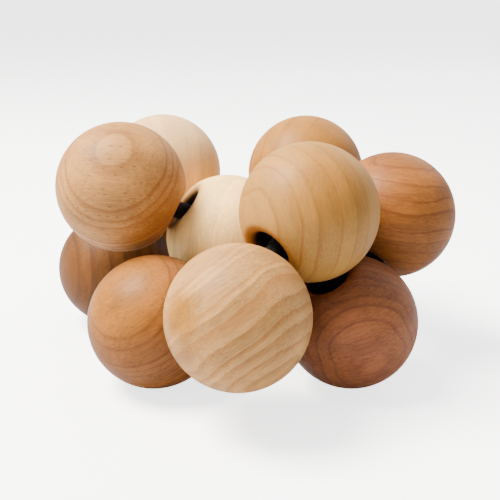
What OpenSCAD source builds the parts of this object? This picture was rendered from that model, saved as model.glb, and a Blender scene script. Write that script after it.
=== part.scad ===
// Twisting ball puzzle: twelve turned hardwood balls on one closed loop of
// black elastic cord. Every ball is drilled from two sides, at right angles,
// to its centre, so the cord turns a corner inside it, and each ball can be
// twisted on its neighbour about the cord. The loop is shown folded up into
// a cluster that stands on five of its balls.

/* [Balls] */
// Diameter of each turned ball
ball_d = 30; // [29.6:0.1:30.2]
// Diameter of the two holes that meet at a ball's centre
bore_d = 8; // [7:0.5:9]
// Radius that rounds the mouth of each hole over into the ball
lip_r = 2.2; // [1.6:0.1:2.6]

/* [Elastic cord] */
// Diameter of the elastic under tension
cord_d = 4; // [3.5:0.25:4.25]
// Radius of the corner that the cord turns at a ball's centre
corner_r = 4.5; // [3:0.5:5]
// Reach of the cord's straight grip on each hole before it bends to the next ball
curve_reach = 5.7; // [4.5:0.1:6]
// Widest diameter of the knot that closes the loop
knot_d = 7.2; // [6:0.2:7.4]

/* [Finish] */
// Smoothness of the round surfaces
smoothness = 96; // [48:8:128]
// Sides of the cord's section
cord_sides = 10; // [8:1:12]

/* [Hidden] */
$fn = smoothness;

birch = [0.87, 0.71, 0.55];
maple = [0.89, 0.75, 0.58];
beech = [0.78, 0.58, 0.41];
cherry = [0.72, 0.46, 0.28];
dark_cherry = [0.52, 0.29, 0.17];
elastic_black = [0.05, 0.04, 0.04];

// Where each ball's centre stands, in the order in which the loop threads
// them. The five balls at half their own diameter rest on the table.
FRONT = 0;
FRONT_LEFT = 1;
MIDDLE = 2;
TOP_LEFT = 3;
BACK_LEFT = 4;
LOW_LEFT = 5;
REAR_LEFT = 6;
REAR_RIGHT = 7;
BACK_RIGHT = 8;
RIGHT = 9;
FRONT_RIGHT = 10;
TOP = 11;
centres = [
    [-1.5, -41, 23.5],
    [-20.5, -22, 15],
    [-4.5, 0, 28.5],
    [-29, -7, 42.5],
    [-22, 22, 40],
    [-35, 16.5, 15],
    [-20.5, 41, 15],
    [8.5, 31, 15],
    [15.5, 20, 40],
    [35, -2, 34.5],
    [23.5, -22, 15],
    [13.5, -24.5, 41]
];
balls = len(centres);

ball_r = ball_d / 2;
bore_r = bore_d / 2;
cord_r = cord_d / 2;

// The rounded lip is a ring of circular section. It touches the hole's wall on
// its inside. On its outside it runs out into the ball at a slight angle,
// because its centre stands proud by a hair.
lip_proud = 0.04;
lip_ring_r = bore_r + lip_r;
lip_ring_z = sqrt((ball_r - lip_r + lip_proud) ^ 2 - lip_ring_r ^ 2);
lip_edge_r = lip_ring_r * ball_r / (ball_r - lip_r);
above = 1;

// Along a hole, from the ball's centre: where one run of cord meets the
// next, and where the cord starts to bend towards the neighbouring ball.
run_end = 5.2;
bend_start = 6;

// Along a hole, from the ball's centre: the place that the facing hole of the
// next ball aims at.
meeting_reach = 6;

// Where the loop is closed: the knot, and the cord's two ends beside it.
knot_start = 5.6;
knot_length = 6.6;
closing_end = 14.8;
facing_end = 14.7;

corner_steps = 5;
bridge_steps = 5;

function unit(v) = v / norm(v);
function next_ball(i) = (i + 1) % balls;
function last_ball(i) = (i + balls - 1) % balls;

// The two holes of a ball are at right angles, and the ball settles so that
// each misses its aim by the same angle. Side 1 looks onwards round the loop,
// and side -1 looks back.
function squared(onwards_aim, back_aim, side) =
    unit(unit(onwards_aim + back_aim) + side * unit(onwards_aim - back_aim));

// A ball's holes if they aimed at the centres of its two neighbours.
function towards(i, j) = unit(centres[j] - centres[i]);
function centred_hole(i, side) = squared(towards(i, next_ball(i)), towards(i, last_ball(i)), side);

// The elastic pulls each hole round to where the cord leaves the neighbour.
function towards_cord(i, j, j_side) =
    unit(centres[j] + meeting_reach * centred_hole(j, j_side) - centres[i]);
function hole(i, side) =
    squared(towards_cord(i, next_ball(i), -1), towards_cord(i, last_ball(i), 1), side);
function along_hole(i, side, reach) = centres[i] + reach * hole(i, side);

// A quarter circle that joins a ball's two holes, from side a to side -a.
function corner(i, a) = [
    for (k = [0:corner_steps])
        let (turn = 90 * k / corner_steps)
        centres[i] + corner_r * ((1 - sin(turn)) * hole(i, a) + (1 - cos(turn)) * hole(i, -a))
];

// A cubic curve from ball i's hole on one side to the hole that faces it.
function bridge(i, side) =
    let (
        j = side > 0 ? next_ball(i) : last_ball(i),
        p = along_hole(i, side, bend_start),
        q = along_hole(j, -side, bend_start),
        p_handle = along_hole(i, side, bend_start + curve_reach),
        q_handle = along_hole(j, -side, bend_start + curve_reach)
    )
    concat(
        [for (k = [0:bridge_steps])
            let (t = k / bridge_steps, s = 1 - t)
            s ^ 3 * p + 3 * s ^ 2 * t * p_handle + 3 * s * t ^ 2 * q_handle + t ^ 3 * q],
        [along_hole(j, -side, run_end)]
    );

function backwards(points) = [for (k = [len(points) - 1:-1:0]) points[k]];

// Direction of a route at its point k.
function heading(route, k) =
    k == 0 ? unit(route[1] - route[0])
    : k == len(route) - 1 ? unit(route[k] - route[k - 1])
    : unit(unit(route[k + 1] - route[k]) + unit(route[k] - route[k - 1]));

// A round tube swept along a route, its rings held level with the direction side_on.
module tube(route, side_on) {
    rings = len(route);
    points = [
        for (k = [0:rings - 1])
            let (
                ahead = heading(route, k),
                u = unit(side_on - (side_on * ahead) * ahead),
                v = cross(ahead, u)
            )
            for (n = [0:cord_sides - 1])
                route[k] + cord_r * (cos(360 * n / cord_sides) * u + sin(360 * n / cord_sides) * v)
    ];
    sides = [
        for (k = [0:rings - 2])
            for (n = [0:cord_sides - 1])
                let (m = (n + 1) % cord_sides, a = k * cord_sides, b = a + cord_sides)
                each [[a + n, b + n, b + m], [a + n, b + m, a + m]]
    ];
    first_cap = [[for (n = [0:cord_sides - 1]) n]];
    last_cap = [[for (n = [cord_sides - 1:-1:0]) (rings - 1) * cord_sides + n]];
    polyhedron(points = points, faces = concat(first_cap, sides, last_cap), convexity = 6);
}

// The part of the cord that turns with ball i. A run starts in its own ball's
// hole and ends inside the hole of the next ball outwards, on its axis.
module run_forwards(i) {
    tube(concat([along_hole(i, -1, run_end)], corner(i, -1), bridge(i, 1)), holes_normal(i));
}

module run_backwards(i) {
    tube(concat([along_hole(i, 1, run_end)], corner(i, 1), bridge(i, -1)), holes_normal(i));
}

function holes_normal(i) = cross(hole(i, 1), hole(i, -1));

// Places a shape made about the origin on ball i, with its Z along the hole
// that looks back round the loop and its Y along the hole that looks onwards.
module on_ball(i) {
    y = hole(i, 1);
    z = hole(i, -1);
    x = cross(y, z);
    c = centres[i];
    multmatrix([
        [x.x, y.x, z.x, c.x],
        [x.y, y.y, z.y, c.y],
        [x.z, y.z, z.z, c.z]
    ])
        children();
}

// What the drill and the rounding cutter take out of one side of a ball.
module hole_cut() {
    rotate_extrude()
        difference() {
            union() {
                square([bore_r, ball_r + above]);
                translate([0, lip_ring_z])
                    square([lip_edge_r, ball_r + above - lip_ring_z]);
            }
            translate([lip_ring_r, lip_ring_z])
                circle(lip_r);
        }
}

// Every ball is turned and drilled alike.
module drilled_ball() {
    difference() {
        sphere(ball_r);
        sphere(bore_r);
        hole_cut();
        rotate([-90, 0, 0])
            hole_cut();
    }
}

module turned_ball(i) {
    on_ball(i)
        drilled_ball();
}

module ball_front() {
    color(birch) turned_ball(FRONT);
}

module ball_front_left() {
    color(cherry) turned_ball(FRONT_LEFT);
}

module ball_middle() {
    color(maple) turned_ball(MIDDLE);
}

module ball_top_left() {
    color(beech) turned_ball(TOP_LEFT);
}

module ball_back_left() {
    color(maple) turned_ball(BACK_LEFT);
}

module ball_low_left() {
    color(dark_cherry) turned_ball(LOW_LEFT);
}

module ball_rear_left() {
    color(birch) turned_ball(REAR_LEFT);
}

module ball_rear_right() {
    color(cherry) turned_ball(REAR_RIGHT);
}

module ball_back_right() {
    color(beech) turned_ball(BACK_RIGHT);
}

module ball_right() {
    color(cherry) turned_ball(RIGHT);
}

module ball_front_right() {
    color(dark_cherry) turned_ball(FRONT_RIGHT);
}

module ball_top() {
    color(maple) turned_ball(TOP);
}

// The root ball's run reaches both ways, into both of its neighbours.
module cord_front_left() {
    color(elastic_black)
        tube(
            concat(backwards(bridge(FRONT_LEFT, -1)), corner(FRONT_LEFT, -1), bridge(FRONT_LEFT, 1)),
            holes_normal(FRONT_LEFT)
        );
}

module cord_middle() {
    color(elastic_black) run_forwards(MIDDLE);
}

module cord_top_left() {
    color(elastic_black) run_forwards(TOP_LEFT);
}

module cord_back_left() {
    color(elastic_black) run_forwards(BACK_LEFT);
}

module cord_low_left() {
    color(elastic_black) run_forwards(LOW_LEFT);
}

// The last run on this side stops at the knot inside its own ball.
module cord_rear_left() {
    color(elastic_black)
        tube(
            concat(
                [along_hole(REAR_LEFT, -1, run_end)],
                corner(REAR_LEFT, -1),
                [along_hole(REAR_LEFT, 1, knot_start)]
            ),
            holes_normal(REAR_LEFT)
        );
}

module cord_front() {
    color(elastic_black) run_backwards(FRONT);
}

module cord_top() {
    color(elastic_black) run_backwards(TOP);
}

module cord_front_right() {
    color(elastic_black) run_backwards(FRONT_RIGHT);
}

module cord_right() {
    color(elastic_black) run_backwards(RIGHT);
}

module cord_back_right() {
    color(elastic_black) run_backwards(BACK_RIGHT);
}

// The last run on this side comes out to meet the knotted end.
module cord_rear_right() {
    color(elastic_black)
        tube(
            concat(
                [along_hole(REAR_RIGHT, 1, run_end)],
                corner(REAR_RIGHT, 1),
                [along_hole(REAR_RIGHT, -1, facing_end)]
            ),
            holes_normal(REAR_RIGHT)
        );
}

// The knot that closes the loop, pulled tight inside the rear left ball, and
// the short end of cord that leaves it for the rear right ball.
module cord_knot() {
    shoulder = (knot_d / 2 - cord_r) / 1.5;
    color(elastic_black)
        on_ball(REAR_LEFT)
            rotate([-90, 0, 0])
                rotate_extrude() {
                    translate([0, knot_start])
                        square([cord_r, closing_end - knot_start]);
                    translate([0, knot_start + shoulder])
                        square([knot_d / 2, knot_length - 2 * shoulder]);
                    translate([0, knot_start])
                        square([knot_d / 2 - shoulder, knot_length]);
                    translate([knot_d / 2 - shoulder, knot_start + shoulder])
                        circle(shoulder);
                    translate([knot_d / 2 - shoulder, knot_start + knot_length - shoulder])
                        circle(shoulder);
                }
}

ball_front();
ball_front_left();
ball_middle();
ball_top_left();
ball_back_left();
ball_low_left();
ball_rear_left();
ball_rear_right();
ball_back_right();
ball_right();
ball_front_right();
ball_top();
cord_front();
cord_front_left();
cord_middle();
cord_top_left();
cord_back_left();
cord_low_left();
cord_rear_left();
cord_rear_right();
cord_back_right();
cord_right();
cord_front_right();
cord_top();
cord_knot();
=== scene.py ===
import math

import bpy
import numpy as np
from mathutils import Matrix, Vector


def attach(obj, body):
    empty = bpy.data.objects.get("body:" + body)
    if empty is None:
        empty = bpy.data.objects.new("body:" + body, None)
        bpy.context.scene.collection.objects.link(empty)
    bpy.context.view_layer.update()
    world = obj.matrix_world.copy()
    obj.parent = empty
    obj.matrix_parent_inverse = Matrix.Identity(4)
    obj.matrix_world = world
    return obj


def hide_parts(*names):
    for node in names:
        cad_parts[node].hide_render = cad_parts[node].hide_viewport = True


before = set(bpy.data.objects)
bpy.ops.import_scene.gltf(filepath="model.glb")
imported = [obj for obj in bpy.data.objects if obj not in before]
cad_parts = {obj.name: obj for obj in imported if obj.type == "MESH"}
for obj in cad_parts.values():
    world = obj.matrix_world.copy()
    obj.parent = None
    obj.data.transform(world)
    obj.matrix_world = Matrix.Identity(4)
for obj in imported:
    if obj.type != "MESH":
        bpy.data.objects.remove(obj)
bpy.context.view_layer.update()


# ---------------------------------------------------------------------------
# The table top that the puzzle stands on, and the eye that looks at it.
# A plain pale sweep of board, seen a little from above the front ball.
# ---------------------------------------------------------------------------

board_half = 7.0
board_bounce = (0.60, 0.62, 0.68, 1.0)
board_seen = (0.97, 0.97, 0.97, 1.0)
board_seen_glow = 2.6
eye_place = (0.0009, -0.1999, 0.08707)
eye_dip = 17.26
sky_seen_glow = 1.9
puzzle_middle = (0.0, 0.0, 0.03)

board_mesh = bpy.data.meshes.new("pale_board")
board_mesh.from_pydata(
    [(-board_half, -board_half, 0.0), (board_half, -board_half, 0.0),
     (board_half, board_half, 0.0), (-board_half, board_half, 0.0)],
    [], [(0, 1, 2, 3)])
pale_board = bpy.data.objects.new("pale_board", board_mesh)
bpy.context.scene.collection.objects.link(pale_board)

board_paint = bpy.data.materials.new("pale_board")
board_paint.use_nodes = True
board_shader = board_paint.node_tree.nodes["Principled BSDF"]
board_path = board_paint.node_tree.nodes.new("ShaderNodeLightPath")
board_tone = board_paint.node_tree.nodes.new("ShaderNodeMix")
board_tone.data_type = "RGBA"
board_tone.inputs[6].default_value = board_bounce
board_tone.inputs[7].default_value = board_seen
board_paint.node_tree.links.new(board_path.outputs["Is Camera Ray"], board_tone.inputs[0])
board_paint.node_tree.links.new(board_tone.outputs[2], board_shader.inputs["Base Color"])
board_glow = board_paint.node_tree.nodes.new("ShaderNodeMath")
board_glow.operation = "MULTIPLY"
board_glow.inputs[1].default_value = board_seen_glow
board_paint.node_tree.links.new(board_path.outputs["Is Camera Ray"], board_glow.inputs[0])
board_paint.node_tree.links.new(board_glow.outputs[0], board_shader.inputs["Emission Strength"])
board_shader.inputs["Emission Color"].default_value = (1.0, 1.0, 1.0, 1.0)
board_shader.inputs["Roughness"].default_value = 0.85
board_shader.inputs["Specular IOR Level"].default_value = 0.2
board_mesh.materials.append(board_paint)

eye_data = bpy.data.cameras.new("eye")
eye_data.sensor_width = 36.0
eye_data.lens = 61.2
eye_data.clip_start = 0.01
eye_data.clip_end = 20.0
eye = bpy.data.objects.new("eye", eye_data)
eye.location = eye_place
eye.rotation_euler = (math.radians(90.0 - eye_dip), 0.0, 0.0)
bpy.context.scene.collection.objects.link(eye)
bpy.context.scene.camera = eye

sky = bpy.data.worlds.new("studio")
bpy.context.scene.world = sky
sky.use_nodes = True
sky_tree = sky.node_tree
sky_tree.nodes["Background"].inputs["Color"].default_value = (1.0, 0.985, 0.97, 1.0)
sky_way = sky_tree.nodes.new("ShaderNodeTexCoord")
sky_parts = sky_tree.nodes.new("ShaderNodeSeparateXYZ")
sky_fade = sky_tree.nodes.new("ShaderNodeMapRange")
sky_fade.interpolation_type = "SMOOTHSTEP"
for key, value in (("From Min", -0.95), ("From Max", 0.25), ("To Min", 0.3), ("To Max", 1.4)):
    sky_fade.inputs[key].default_value = value
sky_tree.links.new(sky_way.outputs["Generated"], sky_parts.inputs["Vector"])
sky_tree.links.new(sky_parts.outputs["Y"], sky_fade.inputs["Value"])
sky_path = sky_tree.nodes.new("ShaderNodeLightPath")
sky_seen = sky_tree.nodes.new("ShaderNodeMix")
sky_seen.inputs["B"].default_value = sky_seen_glow
sky_tree.links.new(sky_path.outputs["Is Camera Ray"], sky_seen.inputs["Factor"])
sky_tree.links.new(sky_fade.outputs["Result"], sky_seen.inputs["A"])
sky_tree.links.new(sky_seen.outputs["Result"], sky_tree.nodes["Background"].inputs["Strength"])


def hang_softbox(name, place, width, power, tint):
    """A square light of a given width that looks from its place at the puzzle."""
    data = bpy.data.lights.new(name, "AREA")
    data.shape = "SQUARE"
    data.size = width
    data.energy = power
    data.color = tint
    light = bpy.data.objects.new(name, data)
    light.location = place
    light.rotation_euler = (Vector(puzzle_middle) - Vector(place)).to_track_quat("-Z", "Y").to_euler()
    bpy.context.scene.collection.objects.link(light)


hang_softbox("key_softbox", (-0.30, -0.02, 0.53), 0.30, 20.0, (1.0, 0.95, 0.88))
hang_softbox("fill_softbox", (-0.60, -0.50, 0.28), 0.50, 2.0, (1.0, 0.98, 0.95))
hang_softbox("rim_softbox", (0.45, 0.55, 0.45), 0.50, 2.0, (1.0, 0.98, 0.96))


# ---------------------------------------------------------------------------
# The loop's layout: where each ball sits in the folded cluster, in the order
# in which the elastic threads them. The two holes of a ball are at right
# angles, and the ball settles so that both miss their aim alike.
# ---------------------------------------------------------------------------

loop_order = ["front", "front_left", "middle", "top_left", "back_left", "low_left",
              "rear_left", "rear_right", "back_right", "right", "front_right", "top"]
ball_centres = 0.001 * np.array([
    [-1.5, -41.0, 23.5], [-20.5, -22.0, 15.0], [-4.5, 0.0, 28.5], [-29.0, -7.0, 42.5],
    [-22.0, 22.0, 40.0], [-35.0, 16.5, 15.0], [-20.5, 41.0, 15.0], [8.5, 31.0, 15.0],
    [15.5, 20.0, 40.0], [35.0, -2.0, 34.5], [23.5, -22.0, 15.0], [13.5, -24.5, 41.0]])
meeting_reach = 0.006


def unit(v):
    """Each row of v divided by its own length."""
    return v / np.linalg.norm(v, axis=-1, keepdims=True)


def squared_holes(onwards, back):
    """Two directions at right angles, each the same angle off its aim: the sum
    of the aims, plus and minus their difference, all at unit length."""
    onwards, back = unit(onwards), unit(back)
    half_way, across = unit(onwards + back), unit(onwards - back)
    return unit(half_way + across), unit(half_way - across)


def settled_holes(centres, reach):
    """The holes first aim at the neighbours' centres, and then at the point a
    short reach along the neighbour's hole that faces them."""
    ahead, behind = np.roll(centres, -1, axis=0), np.roll(centres, 1, axis=0)
    onwards, back = squared_holes(ahead - centres, behind - centres)
    return squared_holes(ahead + reach * np.roll(back, -1, axis=0) - centres,
                         behind + reach * np.roll(onwards, 1, axis=0) - centres)


onwards_holes, back_holes = settled_holes(ball_centres, meeting_reach)


# ---------------------------------------------------------------------------
# The twelve balls. Each is turned from a hardwood blank on the lathe, drilled
# from two sides to its centre and rounded over at both mouths, so its skin is
# one closed surface: down one hole, round the corner and up the other.
# ---------------------------------------------------------------------------

ball_radius = 0.015
bore_radius = 0.004
lip_radius = 0.0022
rings_on_ball = 84
rings_on_lip = 14
rings_in_bore = 8
points_in_ring = 128


def skin_rings():
    """The rings of one ball in its own Y-Z plane, from the foot of the lip on Z,
    round the ball, to the foot of the lip on Y. Each row gives the ring's centre
    (y, z), its radius, and the direction (y, z) of its far side. A lip is an arc
    about a circle round the hole. On the ball the rings are where planes through
    one line outside it cut the sphere, as the plane turns a quarter of a circle."""
    ring_r = bore_radius + lip_radius
    ring_z = math.sqrt((ball_radius - lip_radius) ** 2 - ring_r ** 2)
    half_angle = math.atan2(ring_r, ring_z)
    hinge = ball_radius * math.cos(half_angle)

    bend = np.linspace(0.0, math.pi / 2 + half_angle, rings_on_lip, endpoint=False)
    lip = np.stack([0 * bend, ring_z + lip_radius * np.sin(bend), ring_r - lip_radius * np.cos(bend),
                    0 * bend - 1, 0 * bend], axis=1)

    turn = np.linspace(0.0, math.pi / 2, rings_on_ball)
    away = hinge * (np.cos(turn) - np.sin(turn))
    ball = np.stack([-away * np.sin(turn), away * np.cos(turn), np.sqrt(ball_radius ** 2 - away ** 2),
                     -np.cos(turn), -np.sin(turn)], axis=1)
    return np.concatenate([lip, ball, lip[::-1][:, [1, 0, 2, 4, 3]]])


def ball_grid():
    """Points (ring, place in ring, xyz) of a ball about its own centre. Each ring
    is a circle in the plane of X and its far-side direction. The rings of a hole
    run straight from the oval where the two holes meet to the foot of its lip."""
    rings = skin_rings()
    around = np.linspace(0.0, 2.0 * math.pi, points_in_ring, endpoint=False)
    cy, cz, radius, fy, fz = (rings[:, k, None] for k in range(5))
    skin = np.stack([radius * np.cos(around), cy + fy * radius * np.sin(around),
                     cz + fz * radius * np.sin(around)], axis=-1)
    mitre = bore_radius * np.stack([np.cos(around), -np.sin(around), -np.sin(around)], axis=-1)
    share = (np.arange(rings_in_bore) / rings_in_bore)[:, None, None]
    up_the_first = mitre + share * (skin[0] - mitre)
    down_the_second = (mitre + share * (skin[-1] - mitre))[:0:-1]
    return np.concatenate([up_the_first, skin, down_the_second])


def ball_hole_depth():
    """How far each ring is into a hole: 0 on the ball, rising evenly over a lip
    to 1 at its foot, and 1 down the hole."""
    over_lip = 1.0 - np.arange(rings_on_lip) / rings_on_lip
    depth = np.concatenate([np.ones(rings_in_bore), over_lip, np.zeros(rings_on_ball), over_lip[::-1],
                            np.ones(rings_in_bore - 1)])
    return np.repeat(depth, points_in_ring)


def closed_grid_faces(rows, columns):
    """Quads of a grid of points that closes on itself both ways, row by row."""
    row, column = np.meshgrid(np.arange(rows), np.arange(columns), indexing="ij")
    on, along = (row + 1) % rows, (column + 1) % columns
    return np.stack([row * columns + column, row * columns + along,
                     on * columns + along, on * columns + column], axis=-1).reshape(-1, 4)


def make_mesh(name, points, faces):
    """A smooth mesh object at the origin, from rows of points and rows of quads."""
    mesh = bpy.data.meshes.new(name)
    mesh.vertices.add(len(points))
    mesh.vertices.foreach_set("co", np.ascontiguousarray(points, dtype=np.float32).ravel())
    mesh.loops.add(faces.size)
    mesh.loops.foreach_set("vertex_index", faces.astype(np.int32).ravel())
    mesh.polygons.add(len(faces))
    mesh.polygons.foreach_set("loop_start", np.arange(0, faces.size, 4, dtype=np.int32))
    mesh.polygons.foreach_set("use_smooth", np.ones(len(faces), dtype=bool))
    mesh.update(calc_edges=True)
    piece = bpy.data.objects.new(name, mesh)
    bpy.context.scene.collection.objects.link(piece)
    return piece


one_ball = ball_grid()
one_ball_faces = closed_grid_faces(*one_ball.shape[:2])
one_ball_depth = ball_hole_depth().astype(np.float32)
ball_x = np.cross(onwards_holes, back_holes)
ball_pieces = {}
for place, suffix in enumerate(loop_order):
    axes = np.stack([ball_x[place], onwards_holes[place], back_holes[place]])
    ball_pieces[suffix] = make_mesh("turned_ball_" + suffix,
                                    (ball_centres[place] + one_ball @ axes).reshape(-1, 3),
                                    one_ball_faces)
    depth_mark = ball_pieces[suffix].data.attributes.new("hole_depth", "FLOAT", "POINT")
    depth_mark.data.foreach_set("value", one_ball_depth)
    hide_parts("ball_" + suffix)
    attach(ball_pieces[suffix], suffix)


# ---------------------------------------------------------------------------
# The hardwood itself, as one recipe: growth rings about the heart of the tree,
# fine fibres and pores along it, ray flecks, and a blush where the heartwood
# starts, with painted shade over the lips and down the holes. It is sanded and
# waxed, so the grain is felt only faintly.
# ---------------------------------------------------------------------------

mm_per_metre = 1000.0
late_line = 0.93
# Painted shade: the near-black colour laid over the wood down each hole.
painted_hole_shade = (0.004, 0.0015, 0.001, 1.0)


def add_node(tree, kind, links=(), **settings):
    """A node of that kind with its settings, its inputs linked or set from (name or index, value) pairs."""
    node = tree.nodes.new(kind)
    for key, value in settings.items():
        setattr(node, key, value)
    for key, value in links:
        if isinstance(value, bpy.types.NodeSocket):
            tree.links.new(value, node.inputs[key])
        else:
            node.inputs[key].default_value = value
    return node


def sums(tree, operation, *terms):
    """The result of one Math node on sockets or numbers."""
    return add_node(tree, "ShaderNodeMath", list(enumerate(terms)), operation=operation).outputs[0]


def centred(tree, value):
    """A value from 0 to 1, moved to run from -0.5 to 0.5."""
    return sums(tree, "SUBTRACT", value, 0.5)


def stretched(tree, vector, across, along):
    """The vector scaled by one factor across the grain and by another along it."""
    return add_node(tree, "ShaderNodeVectorMath", [(0, vector), (1, (across, across, along))],
                    operation="MULTIPLY").outputs[0]


def cloud(tree, vector, detail, roughness=0.5):
    """Soft noise from 0 to 1 over the vector."""
    return add_node(tree, "ShaderNodeTexNoise",
                    [("Vector", vector), ("Scale", 1.0), ("Detail", detail), ("Roughness", roughness)],
                    noise_dimensions="3D").outputs["Fac"]


def smooth_step(tree, value, start, end, low=0.0, high=1.0):
    """A value eased from low to high as it passes from start to end."""
    ends = [("From Min", start), ("From Max", end), ("To Min", low), ("To Max", high)]
    return add_node(tree, "ShaderNodeMapRange", [("Value", value)] + ends,
                    interpolation_type="SMOOTHSTEP").outputs["Result"]


def tinted(tree, share, first, second):
    """Colours mixed by a share from 0 to 1."""
    return add_node(tree, "ShaderNodeMix", [(0, share), (6, first), (7, second)],
                    data_type="RGBA").outputs[2]


def specks(tree, vector, across, along, size, channel, none_below, all_above):
    """Soft marks drawn out along the grain, one to a cell. A random channel of the
    cell's colour picks which cells have theirs."""
    drawn_out = stretched(tree, vector, across, along)
    cells = add_node(tree, "ShaderNodeTexVoronoi",
                     [("Vector", drawn_out), ("Scale", 1.0), ("Randomness", 1.0)])
    pick = add_node(tree, "ShaderNodeSeparateColor", [("Color", cells.outputs["Color"])]).outputs[channel]
    return sums(tree, "MULTIPLY", smooth_step(tree, cells.outputs["Distance"], 0.10, size, 1.0, 0.0),
                smooth_step(tree, pick, none_below, all_above))


hardwood = bpy.data.node_groups.new("turned_hardwood", "ShaderNodeTree")
for label, kind, usual in (
        ("Place", "NodeSocketVector", (0.0, 0.0, 0.0)),
        ("Blush Place", "NodeSocketVector", (0.0, 0.0, 0.0)),
        ("Pale Wood", "NodeSocketColor", (0.8, 0.6, 0.4, 1.0)),
        ("Dark Wood", "NodeSocketColor", (0.5, 0.3, 0.15, 1.0)),
        ("Blush And Lip Shade Wood", "NodeSocketColor", (0.7, 0.4, 0.2, 1.0)),
        ("Ring Spacing", "NodeSocketFloat", 3.0),
        ("Ring Start", "NodeSocketFloat", 0.0),
        ("Ring Wander", "NodeSocketFloat", 0.8),
        ("Ring Softness", "NodeSocketFloat", 0.5),
        ("Ring Depth", "NodeSocketFloat", 0.5),
        ("Fibre Depth", "NodeSocketFloat", 0.2),
        ("Fleck Depth", "NodeSocketFloat", 0.2),
        ("Pore Depth", "NodeSocketFloat", 0.2),
        ("Blush Radius", "NodeSocketFloat", 6.0),
        ("Blush Depth", "NodeSocketFloat", 0.0),
        ("Hole Depth", "NodeSocketFloat", 0.0)):
    hardwood.interface.new_socket(label, in_out="INPUT", socket_type=kind).default_value = usual
for label, kind in (("Color", "NodeSocketColor"), ("Roughness", "NodeSocketFloat"),
                    ("Height", "NodeSocketFloat")):
    hardwood.interface.new_socket(label, in_out="OUTPUT", socket_type=kind)

entry = hardwood.nodes.new("NodeGroupInput").outputs
place_mm = entry["Place"]

# Growth rings: the distance from the tree's heart, wandering slowly along the
# grain, cut into years. A year starts pale and ends in a thin dark line.
slow_wander = centred(hardwood, cloud(hardwood, stretched(hardwood, place_mm, 0.10, 0.035), 1.0))
quick_wander = centred(hardwood, cloud(hardwood, stretched(hardwood, place_mm, 0.9, 0.28), 2.0))
wander = sums(hardwood, "ADD", sums(hardwood, "MULTIPLY", slow_wander, 3.2),
              sums(hardwood, "MULTIPLY", quick_wander, 0.34))
wander = sums(hardwood, "MULTIPLY", entry["Ring Wander"], wander)
off_grain = stretched(hardwood, place_mm, 1.0, 0.0)
from_heart = add_node(hardwood, "ShaderNodeVectorMath", [(0, off_grain)], operation="LENGTH").outputs["Value"]
growth = sums(hardwood, "DIVIDE", sums(hardwood, "ADD", from_heart, wander), entry["Ring Spacing"])
years = sums(hardwood, "ADD", entry["Ring Start"], growth)
uneven = add_node(hardwood, "ShaderNodeTexNoise",
                  [("W", sums(hardwood, "MULTIPLY", years, 0.7)), ("Scale", 1.0), ("Detail", 0.0)],
                  noise_dimensions="1D").outputs["Fac"]
years = sums(hardwood, "ADD", years, sums(hardwood, "MULTIPLY", uneven, 0.9))
season = sums(hardwood, "FRACT", years)
year_tone = add_node(hardwood, "ShaderNodeTexWhiteNoise", [("W", sums(hardwood, "FLOOR", years))],
                     noise_dimensions="1D").outputs["Value"]
line_start = sums(hardwood, "SUBTRACT", late_line, entry["Ring Softness"])
late_growth = sums(hardwood, "MULTIPLY", smooth_step(hardwood, season, line_start, late_line),
                   smooth_step(hardwood, season, late_line, 1.0, 1.0, 0.0))
late_growth = sums(hardwood, "MULTIPLY", late_growth,
                   smooth_step(hardwood, year_tone, 0.0, 1.0, 0.45, 1.0))

# Fibres run along the grain, with pores between them and flecks across them.
fibre = cloud(hardwood, stretched(hardwood, place_mm, 2.6, 0.16), 4.0, 0.62)
broad = cloud(hardwood, stretched(hardwood, place_mm, 0.22, 0.05), 2.0)
pores = specks(hardwood, place_mm, 2.7, 0.62, 0.34, 0, 0.35, 0.8)
flecks = specks(hardwood, place_mm, 1.5, 0.42, 0.28, 1, 0.15, 0.5)
dents = sums(hardwood, "ADD", sums(hardwood, "MULTIPLY", flecks, entry["Fleck Depth"]),
             sums(hardwood, "MULTIPLY", pores, entry["Pore Depth"]))

# The blush is a soft-edged patch round one place on the ball.
blush_reach = add_node(hardwood, "ShaderNodeVectorMath", [(0, place_mm), (1, entry["Blush Place"])],
                       operation="DISTANCE").outputs["Value"]
blush_edge = sums(hardwood, "MULTIPLY", centred(hardwood, broad), 5.0)
blush_reach = sums(hardwood, "DIVIDE", sums(hardwood, "ADD", blush_reach, blush_edge), entry["Blush Radius"])
blush = smooth_step(hardwood, blush_reach, 0.35, 1.25, 1.0, 0.0)

# The colours, one over the other. Each lip takes the warmer, darker blush colour as painted shade, and the
# wood down a hole is painted all but black as painted shade.
tone = tinted(hardwood, sums(hardwood, "MULTIPLY", late_growth, entry["Ring Depth"]),
              entry["Pale Wood"], entry["Dark Wood"])
tone = tinted(hardwood, sums(hardwood, "MULTIPLY", blush, entry["Blush Depth"]), tone, entry["Blush And Lip Shade Wood"])
tone = tinted(hardwood, sums(hardwood, "MULTIPLY", dents, 0.75), tone, entry["Dark Wood"])
# Painted shade: the lips take the warmer, darker blush colour where the surface turns into a hole.
lip_painted_shade_share = smooth_step(hardwood, entry["Hole Depth"], 0.02, 0.4, 0.0, 0.85)
tone = tinted(hardwood, lip_painted_shade_share, tone, entry["Blush And Lip Shade Wood"])
# Painted shade: down a hole the wood turns all but black.
hole_painted_shade_share = smooth_step(hardwood, entry["Hole Depth"], 0.42, 0.8, 0.0, 0.96)
tone = tinted(hardwood, hole_painted_shade_share, tone, painted_hole_shade)
streaks = sums(hardwood, "MULTIPLY", centred(hardwood, fibre), 1.5)
drift = sums(hardwood, "ADD", centred(hardwood, broad),
             sums(hardwood, "MULTIPLY", centred(hardwood, year_tone), 0.35))
bright = sums(hardwood, "MULTIPLY", entry["Fibre Depth"], sums(hardwood, "ADD", streaks, drift))
bright = sums(hardwood, "ADD", 1.0, bright)
tone = add_node(hardwood, "ShaderNodeVectorMath", [(0, tone), ("Scale", bright)],
                operation="SCALE").outputs[0]

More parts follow.
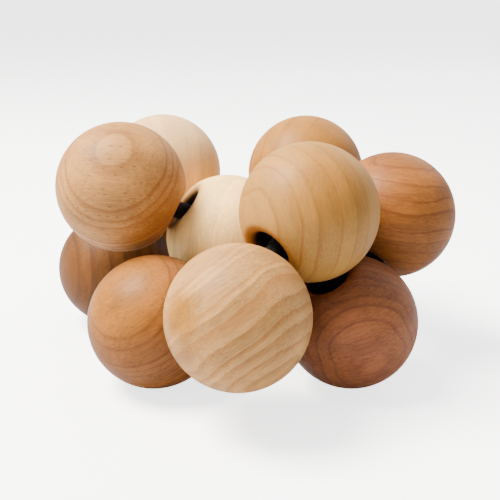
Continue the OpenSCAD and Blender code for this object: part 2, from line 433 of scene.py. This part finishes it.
# Dents and open fibres are rougher, and lie lower than the late growth.
dullness = sums(hardwood, "ADD", sums(hardwood, "MULTIPLY", dents, 0.25),
                sums(hardwood, "MULTIPLY", centred(hardwood, fibre), 0.16))
rough = sums(hardwood, "ADD", 0.54, dullness)
sunken = sums(hardwood, "ADD", dents, sums(hardwood, "MULTIPLY", late_growth, -0.15))
height = sums(hardwood, "SUBTRACT", sums(hardwood, "MULTIPLY", fibre, 0.35), sunken)
leave = hardwood.nodes.new("NodeGroupOutput").inputs
for label, value in (("Color", tone), ("Roughness", rough), ("Height", height)):
    hardwood.links.new(value, leave[label])


def finish_in_wood(suffix, species, heart, grain, blush_at, values):
    """A ball's own cut of wood: heart is where the tree's heart passes, from the
    ball's centre in mm, grain its direction, and blush_at the blush's place."""
    centre = mm_per_metre * Vector(ball_centres[loop_order.index(suffix)])
    along = Vector(grain).normalized()
    outward = -(Vector(heart) - Vector(heart).dot(along) * along).normalized()
    turn = Matrix([outward.cross(along), outward, along])
    start = centre + Vector(heart)

    wood = bpy.data.materials.new(species + "_" + suffix)
    wood.use_nodes = True
    tree = wood.node_tree
    shader = tree.nodes["Principled BSDF"]
    where = tree.nodes.new("ShaderNodeTexCoord")
    cut = add_node(tree, "ShaderNodeMapping",
                   [("Vector", where.outputs["Object"]), ("Location", -(turn @ start)),
                    ("Rotation", turn.to_euler()), ("Scale", (mm_per_metre, mm_per_metre, mm_per_metre))])
    grain_of = add_node(tree, "ShaderNodeGroup", node_tree=hardwood)
    tree.links.new(cut.outputs["Vector"], grain_of.inputs["Place"])
    hole_mark = add_node(tree, "ShaderNodeAttribute", attribute_name="hole_depth")
    tree.links.new(hole_mark.outputs["Fac"], grain_of.inputs["Hole Depth"])
    grain_of.inputs["Blush Place"].default_value = turn @ (centre + Vector(blush_at) - start)
    for label, value in values.items():
        grain_of.inputs[label].default_value = value
    bump = add_node(tree, "ShaderNodeBump", [("Height", grain_of.outputs["Height"]),
                                             ("Strength", 0.35), ("Distance", 0.00005)])
    tree.links.new(grain_of.outputs["Color"], shader.inputs["Base Color"])
    tree.links.new(grain_of.outputs["Roughness"], shader.inputs["Roughness"])
    tree.links.new(bump.outputs["Normal"], shader.inputs["Normal"])
    shader.inputs["Specular IOR Level"].default_value = 0.12
    shader.inputs["Coat Weight"].default_value = 0.04
    shader.inputs["Coat Roughness"].default_value = 0.32
    ball_pieces[suffix].data.materials.append(wood)


# ---------------------------------------------------------------------------
# Each ball's blank was sawn from another board, so each shows its tree's rings
# its own way: as stripes, as a bullseye where the saw ran along a ring, or
# hardly at all.
# ---------------------------------------------------------------------------


finish_in_wood("front", "birch", (24.8, -23.3, -29.4), (0.82, 0.17, 0.55), (-11.0, -9.0, 4.0),
               {"Pale Wood": (0.391, 0.199, 0.060, 1.0), "Dark Wood": (0.247, 0.097, 0.023, 1.0),
                "Blush And Lip Shade Wood": (0.262, 0.106, 0.006, 1.0),
                "Ring Spacing": 2.5, "Ring Start": 0.0, "Ring Wander": 1.7, "Ring Softness": 0.7,
                "Ring Depth": 0.8, "Fibre Depth": 0.75, "Fleck Depth": 0.25, "Pore Depth": 0.3,
                "Blush Radius": 5.5, "Blush Depth": 0.95})
finish_in_wood("front_left", "cherry", (14.9, 19.4, -37.6), (0.85, 0.05, 0.51), (-6.0, -8.0, 10.0),
               {"Pale Wood": (0.192, 0.067, 0.013, 1.0), "Dark Wood": (0.067, 0.018, 0.003, 1.0),
                "Blush And Lip Shade Wood": (0.242, 0.088, 0.006, 1.0),
                "Ring Spacing": 2.3, "Ring Start": 0.3, "Ring Wander": 0.5, "Ring Softness": 0.3,
                "Ring Depth": 0.8, "Fibre Depth": 0.8, "Fleck Depth": 0.1, "Pore Depth": 1.2,
                "Blush Radius": 12.0, "Blush Depth": 0.8})
finish_in_wood("middle", "maple", (-60.0, 20.0, 5.0), (0.05, 0.15, 1.0), (0.0, -12.0, 4.0),
               {"Pale Wood": (0.840, 0.530, 0.185, 1.0), "Dark Wood": (0.560, 0.340, 0.130, 1.0),
                "Blush And Lip Shade Wood": (0.620, 0.330, 0.120, 1.0),
                "Ring Spacing": 4.5, "Ring Start": 0.0, "Ring Wander": 0.8, "Ring Softness": 0.5,
                "Ring Depth": 0.25, "Fibre Depth": 0.55, "Fleck Depth": 0.3, "Pore Depth": 0.3,
                "Blush Radius": 8.0, "Blush Depth": 0.1})
finish_in_wood("top_left", "beech", (-1.0, 34.0, -36.0), (1.0, -0.08, -0.08), (8.0, -8.0, -6.0),
               {"Pale Wood": (0.368, 0.171, 0.046, 1.0), "Dark Wood": (0.169, 0.060, 0.013, 1.0),
                "Blush And Lip Shade Wood": (0.334, 0.129, 0.024, 1.0),
                "Ring Spacing": 2.8, "Ring Start": 0.8, "Ring Wander": 0.45, "Ring Softness": 0.45,
                "Ring Depth": 0.9, "Fibre Depth": 0.75, "Fleck Depth": 1.1, "Pore Depth": 0.5,
                "Blush Radius": 8.0, "Blush Depth": 0.6})
finish_in_wood("back_left", "maple", (50.0, 10.0, -30.0), (0.1, 0.2, 0.97), (-4.0, -10.0, -8.0),
               {"Pale Wood": (0.600, 0.370, 0.160, 1.0), "Dark Wood": (0.330, 0.170, 0.065, 1.0),
                "Blush And Lip Shade Wood": (0.293, 0.134, 0.039, 1.0),
                "Ring Spacing": 4.0, "Ring Start": 0.0, "Ring Wander": 0.7, "Ring Softness": 0.5,
                "Ring Depth": 0.12, "Fibre Depth": 0.35, "Fleck Depth": 0.15, "Pore Depth": 0.2,
                "Blush Radius": 8.0, "Blush Depth": 0.0})
finish_in_wood("low_left", "dark_cherry", (40.0, 10.0, 4.0), (0.06, 0.1, 0.99), (-8.0, -8.0, 0.0),
               {"Pale Wood": (0.096, 0.035, 0.007, 1.0), "Dark Wood": (0.034, 0.011, 0.003, 1.0),
                "Blush And Lip Shade Wood": (0.105, 0.034, 0.005, 1.0),
                "Ring Spacing": 3.4, "Ring Start": 0.0, "Ring Wander": 0.6, "Ring Softness": 0.5,
                "Ring Depth": 0.6, "Fibre Depth": 0.8, "Fleck Depth": 0.1, "Pore Depth": 0.6,
                "Blush Radius": 10.0, "Blush Depth": 0.3})
finish_in_wood("rear_left", "birch", (-36.0, 20.0, -20.0), (0.45, 0.3, 0.84), (8.0, 6.0, 8.0),
               {"Pale Wood": (0.391, 0.199, 0.060, 1.0), "Dark Wood": (0.283, 0.115, 0.027, 1.0),
                "Blush And Lip Shade Wood": (0.338, 0.127, 0.022, 1.0),
                "Ring Spacing": 3.0, "Ring Start": 0.0, "Ring Wander": 1.4, "Ring Softness": 0.65,
                "Ring Depth": 0.75, "Fibre Depth": 0.75, "Fleck Depth": 0.25, "Pore Depth": 0.3,
                "Blush Radius": 6.0, "Blush Depth": 0.5})
finish_in_wood("rear_right", "cherry", (-8.0, -40.0, 20.0), (0.92, -0.1, 0.38), (0.0, 10.0, 6.0),
               {"Pale Wood": (0.202, 0.070, 0.014, 1.0), "Dark Wood": (0.072, 0.019, 0.003, 1.0),
                "Blush And Lip Shade Wood": (0.211, 0.069, 0.008, 1.0),
                "Ring Spacing": 2.3, "Ring Start": 0.0, "Ring Wander": 0.6, "Ring Softness": 0.4,
                "Ring Depth": 0.8, "Fibre Depth": 0.8, "Fleck Depth": 0.1, "Pore Depth": 0.8,
                "Blush Radius": 9.0, "Blush Depth": 0.4})
finish_in_wood("back_right", "beech", (-30.0, 30.0, -20.0), (0.55, 0.2, -0.81), (0.0, -8.0, 8.0),
               {"Pale Wood": (0.285, 0.122, 0.019, 1.0), "Dark Wood": (0.170, 0.055, 0.010, 1.0),
                "Blush And Lip Shade Wood": (0.270, 0.104, 0.013, 1.0),
                "Ring Spacing": 5.5, "Ring Start": 0.3, "Ring Wander": 0.7, "Ring Softness": 0.25,
                "Ring Depth": 0.6, "Fibre Depth": 0.5, "Fleck Depth": 0.3, "Pore Depth": 0.3,
                "Blush Radius": 12.0, "Blush Depth": 0.45})
finish_in_wood("right", "cherry", (4.0, -12.5, -40.0), (0.98, -0.03, -0.12), (-4.0, -10.0, 0.0),
               {"Pale Wood": (0.207, 0.071, 0.013, 1.0), "Dark Wood": (0.091, 0.022, 0.005, 1.0),
                "Blush And Lip Shade Wood": (0.238, 0.074, 0.013, 1.0),
                "Ring Spacing": 3.0, "Ring Start": 0.1, "Ring Wander": 1.5, "Ring Softness": 0.22,
                "Ring Depth": 0.72, "Fibre Depth": 0.9, "Fleck Depth": 0.35, "Pore Depth": 0.7,
                "Blush Radius": 10.0, "Blush Depth": 0.5})
finish_in_wood("front_right", "dark_cherry", (-11.0, 41.6, 12.5), (0.95, 0.1, 0.3), (3.0, -13.0, -4.0),
               {"Pale Wood": (0.205, 0.071, 0.026, 1.0), "Dark Wood": (0.085, 0.026, 0.017, 1.0),
                "Blush And Lip Shade Wood": (0.256, 0.081, 0.026, 1.0),
                "Ring Spacing": 1.9, "Ring Start": 0.2, "Ring Wander": 0.8, "Ring Softness": 0.42,
                "Ring Depth": 0.6, "Fibre Depth": 0.9, "Fleck Depth": 0.1, "Pore Depth": 1.0,
                "Blush Radius": 9.0, "Blush Depth": 0.35})
finish_in_wood("top", "maple", (40.0, 16.6, 6.3), (0.26, -0.29, -0.92), (3.0, -11.0, 8.0),
               {"Pale Wood": (0.315, 0.153, 0.031, 1.0), "Dark Wood": (0.193, 0.065, 0.006, 1.0),
                "Blush And Lip Shade Wood": (0.270, 0.100, 0.010, 1.0),
                "Ring Spacing": 3.5, "Ring Start": 0.3, "Ring Wander": 0.8, "Ring Softness": 0.2,
                "Ring Depth": 0.55, "Fibre Depth": 0.5, "Fleck Depth": 0.2, "Pore Depth": 0.25,
                "Blush Radius": 10.0, "Blush Depth": 0.5})


# ---------------------------------------------------------------------------
# The elastic: one round cord of rubber strands under a black woven cover,
# threaded through all the balls. It turns a corner in each and twists within
# itself, so each ball carries the stretch that turns with it.
# ---------------------------------------------------------------------------

cord_radius = 0.002
corner_radius = 0.0045
run_end = 0.0052
bend_start = 0.006
curve_reach = 0.0057
knot_start = 0.0056
facing_end = 0.0147
closing_end = 0.0148
cord_strands = 8
points_per_strand = 8
weave_pitch = 0.0016
weave_dip = 0.00006
weave_step = 0.0002
end_shrink = (0.001, 0.5, 0.9)


def corner_path(ball, side):
    """A quarter circle that joins the ball's hole on that side to its other one."""
    turn = np.linspace(0.0, math.pi / 2, 13)[:, None]
    first, second = (onwards_holes, back_holes) if side > 0 else (back_holes, onwards_holes)
    bend = (1 - np.sin(turn)) * first[ball] + (1 - np.cos(turn)) * second[ball]
    return ball_centres[ball] + corner_radius * bend


def bridge_path(ball, side):
    """A cubic curve from the ball's hole on that side to the hole that faces it,
    with handles straight out of both, and then on to the end of the run."""
    count = len(loop_order)
    other = (ball + (1 if side > 0 else -1)) % count
    here = (onwards_holes if side > 0 else back_holes)[ball]
    there = (back_holes if side > 0 else onwards_holes)[other]
    t = np.linspace(0.0, 1.0, 25)[:, None]
    leaving, arriving = ball_centres[ball], ball_centres[other]
    handle_end = bend_start + curve_reach
    corners = [leaving + bend_start * here, leaving + handle_end * here,
               arriving + handle_end * there, arriving + bend_start * there]
    curve = ((1 - t) ** 3 * corners[0] + 3 * t * (1 - t) ** 2 * corners[1]
             + 3 * t ** 2 * (1 - t) * corners[2] + t ** 3 * corners[3])
    return np.concatenate([curve, [arriving + run_end * there]])


def even_steps(path, step):
    """The same path with its points a near-equal step apart."""
    run = np.concatenate([[0.0], np.cumsum(np.linalg.norm(np.diff(path, axis=0), axis=1))])
    stops = np.linspace(0.0, run[-1], max(2, int(math.ceil(run[-1] / step)) + 1))
    return np.stack([np.interp(stops, run, path[:, k]) for k in range(3)], axis=1)


def woven_tube(path, level, radius, closed=False):
    """Points of a tube and how far along each ring lies. The rings are square to
    the path and start level with one direction. The cover's strands wind round
    it both ways, so its radius dips by the higher of two sine waves."""
    if closed:
        ahead = unit(np.roll(path, -1, axis=0) - np.roll(path, 1, axis=0))
    else:
        ahead = unit(np.gradient(path, axis=0))
    across = unit(level - (ahead @ level)[:, None] * ahead)
    up = np.cross(ahead, across)
    run = np.concatenate([[0.0], np.cumsum(np.linalg.norm(np.diff(path, axis=0), axis=1))])
    around = np.linspace(0.0, 2.0 * math.pi, cord_strands * points_per_strand,
                         endpoint=False)[None, :]
    wind = 2.0 * math.pi * run[:, None] / weave_pitch
    swell = np.maximum(np.sin(cord_strands * around + wind), np.sin(cord_strands * around - wind))
    reach = (radius - weave_dip * (1.0 - swell))[..., None]
    lie = np.cos(around)[..., None] * across[:, None] + np.sin(around)[..., None] * up[:, None]
    return path[:, None] + reach * lie, run


def open_grid_faces(rows, columns):
    """Quads of a grid of points that closes on itself only along its rows."""
    row, column = np.meshgrid(np.arange(rows - 1), np.arange(columns), indexing="ij")
    along = (column + 1) % columns
    return np.stack([row * columns + column, row * columns + along,
                     (row + 1) * columns + along, (row + 1) * columns + column], axis=-1).reshape(-1, 4)


def lay_weave(piece, faces, columns, run):
    """A UV map for the cover: U once round the cord, V its length in mm."""
    column = faces % columns
    wraps = (column == 0) & (column.max(axis=1, keepdims=True) == columns - 1)
    uv = np.stack([np.where(wraps, columns, column) / columns, mm_per_metre * run[faces // columns]], axis=-1)
    piece.data.uv_layers.new(name="weave").data.foreach_set("uv", uv.astype(np.float32).ravel())


def make_cord(name, path, level):
    """A woven tube along the path, closed at both ends by rings that shrink in."""
    points, run = woven_tube(even_steps(path, weave_step), level, cord_radius)
    shrink = np.array(end_shrink)[:, None, None]
    first, last = points[0].mean(axis=0), points[-1].mean(axis=0)
    points = np.concatenate([first + shrink * (points[0] - first), points,
                             last + shrink[::-1] * (points[-1] - last)])
    run = np.concatenate([[run[0]] * len(end_shrink), run, [run[-1]] * len(end_shrink)])
    faces = open_grid_faces(*points.shape[:2])
    piece = make_mesh(name, points.reshape(-1, 3), faces)
    lay_weave(piece, faces, points.shape[1], run)
    return piece


cord_paths = {}
root_place = loop_order.index("front_left")
for place, suffix in enumerate(loop_order):
    onwards_run = root_place < place <= loop_order.index("rear_left")
    side = 1 if onwards_run else -1
    near_hole = (back_holes if onwards_run else onwards_holes)[place]
    far_hole = (onwards_holes if onwards_run else back_holes)[place]
    centre = ball_centres[place]
    start = centre + run_end * near_hole
    if place == root_place:
        path = np.concatenate([bridge_path(place, -1)[::-1], corner_path(place, -1), bridge_path(place, 1)])
    elif suffix == "rear_left":
        path = np.concatenate([[start], corner_path(place, -side), [centre + knot_start * far_hole]])
    elif suffix == "rear_right":
        path = np.concatenate([[start], corner_path(place, -side), [centre + facing_end * far_hole]])
    else:
        path = np.concatenate([[start], corner_path(place, -side), bridge_path(place, side)])
    cord_paths[suffix] = path

cord_pieces = {suffix: make_cord("elastic_" + suffix, path, ball_x[loop_order.index(suffix)])
               for suffix, path in cord_paths.items()}
for suffix, piece in cord_pieces.items():
    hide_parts("cord_" + suffix)
    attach(piece, suffix)

weave = bpy.data.materials.new("woven_elastic")
weave.use_nodes = True
weave_tree = weave.node_tree
weave_shader = weave_tree.nodes["Principled BSDF"]
lie_of = add_node(weave_tree, "ShaderNodeUVMap", uv_map="weave")
lie_parts = add_node(weave_tree, "ShaderNodeSeparateXYZ", [("Vector", lie_of.outputs["UV"])])
round_it = sums(weave_tree, "MULTIPLY", lie_parts.outputs["X"], 2.0 * math.pi * cord_strands)
along_it = sums(weave_tree, "MULTIPLY", lie_parts.outputs["Y"], 2.0 * math.pi / (mm_per_metre * weave_pitch))
one_way = sums(weave_tree, "SINE", sums(weave_tree, "ADD", round_it, along_it))
other_way = sums(weave_tree, "SINE", sums(weave_tree, "SUBTRACT", round_it, along_it))
strands = sums(weave_tree, "MAXIMUM", one_way, other_way)
weave_tone = tinted(weave_tree, smooth_step(weave_tree, strands, 0.0, 1.0),
                    (0.002, 0.0015, 0.0015, 1.0), (0.009, 0.007, 0.006, 1.0))
yarn_lie = stretched(weave_tree, lie_of.outputs["UV"], 60.0, 1.0)
yarn = add_node(weave_tree, "ShaderNodeTexNoise", [("Vector", yarn_lie), ("Scale", 3.0), ("Detail", 2.0)])
weave_bump = add_node(weave_tree, "ShaderNodeBump",
                      [("Height", yarn.outputs["Fac"]), ("Strength", 0.5), ("Distance", 0.00005)])
weave_tree.links.new(weave_tone, weave_shader.inputs["Base Color"])
weave_tree.links.new(weave_bump.outputs["Normal"], weave_shader.inputs["Normal"])
weave_shader.inputs["Roughness"].default_value = 0.8
weave_shader.inputs["Sheen Weight"].default_value = 0.05
weave_shader.inputs["Specular IOR Level"].default_value = 0.2
for piece in cord_pieces.values():
    piece.data.materials.append(weave)


# ---------------------------------------------------------------------------
# The knot that closes the loop, pulled tight inside the rear left ball, and
# the short end that leaves it for the rear right ball. Same black elastic.
# ---------------------------------------------------------------------------

knot_middle = 0.0089
knot_strand = 0.00105
knot_width = 0.0036
knot_half_length = 0.0033
rear_left_place = loop_order.index("rear_left")


def knot_path():
    """A threefold knot: it goes twice round its axis while it swings three times
    in and out, and three times up and down, inside the knot's own barrel."""
    t = np.linspace(0.0, 2.0 * math.pi, 200, endpoint=False)
    swing = (knot_width - knot_strand) * (0.66 + 0.34 * np.cos(3 * t))
    lift = (knot_half_length - knot_strand) * np.sin(3 * t)
    axes = np.stack([ball_x[rear_left_place], back_holes[rear_left_place], onwards_holes[rear_left_place]])
    local = np.stack([swing * np.cos(2 * t), swing * np.sin(2 * t), knot_middle + lift], axis=1)
    return ball_centres[rear_left_place] + local @ axes


knot_points, knot_run = woven_tube(knot_path(), onwards_holes[rear_left_place], knot_strand, closed=True)
knot_faces = closed_grid_faces(*knot_points.shape[:2])
knot_piece = make_mesh("elastic_knot", knot_points.reshape(-1, 3), knot_faces)
lay_weave(knot_piece, knot_faces, knot_points.shape[1], knot_run)
knot_end_reach = np.outer([knot_start, closing_end], onwards_holes[rear_left_place])
knot_end_piece = make_cord("elastic_knot_end", ball_centres[rear_left_place] + knot_end_reach,
                           ball_x[rear_left_place])
for piece in (knot_piece, knot_end_piece):
    piece.data.materials.append(weave)
    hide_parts("cord_knot")
    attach(piece, "rear_left")
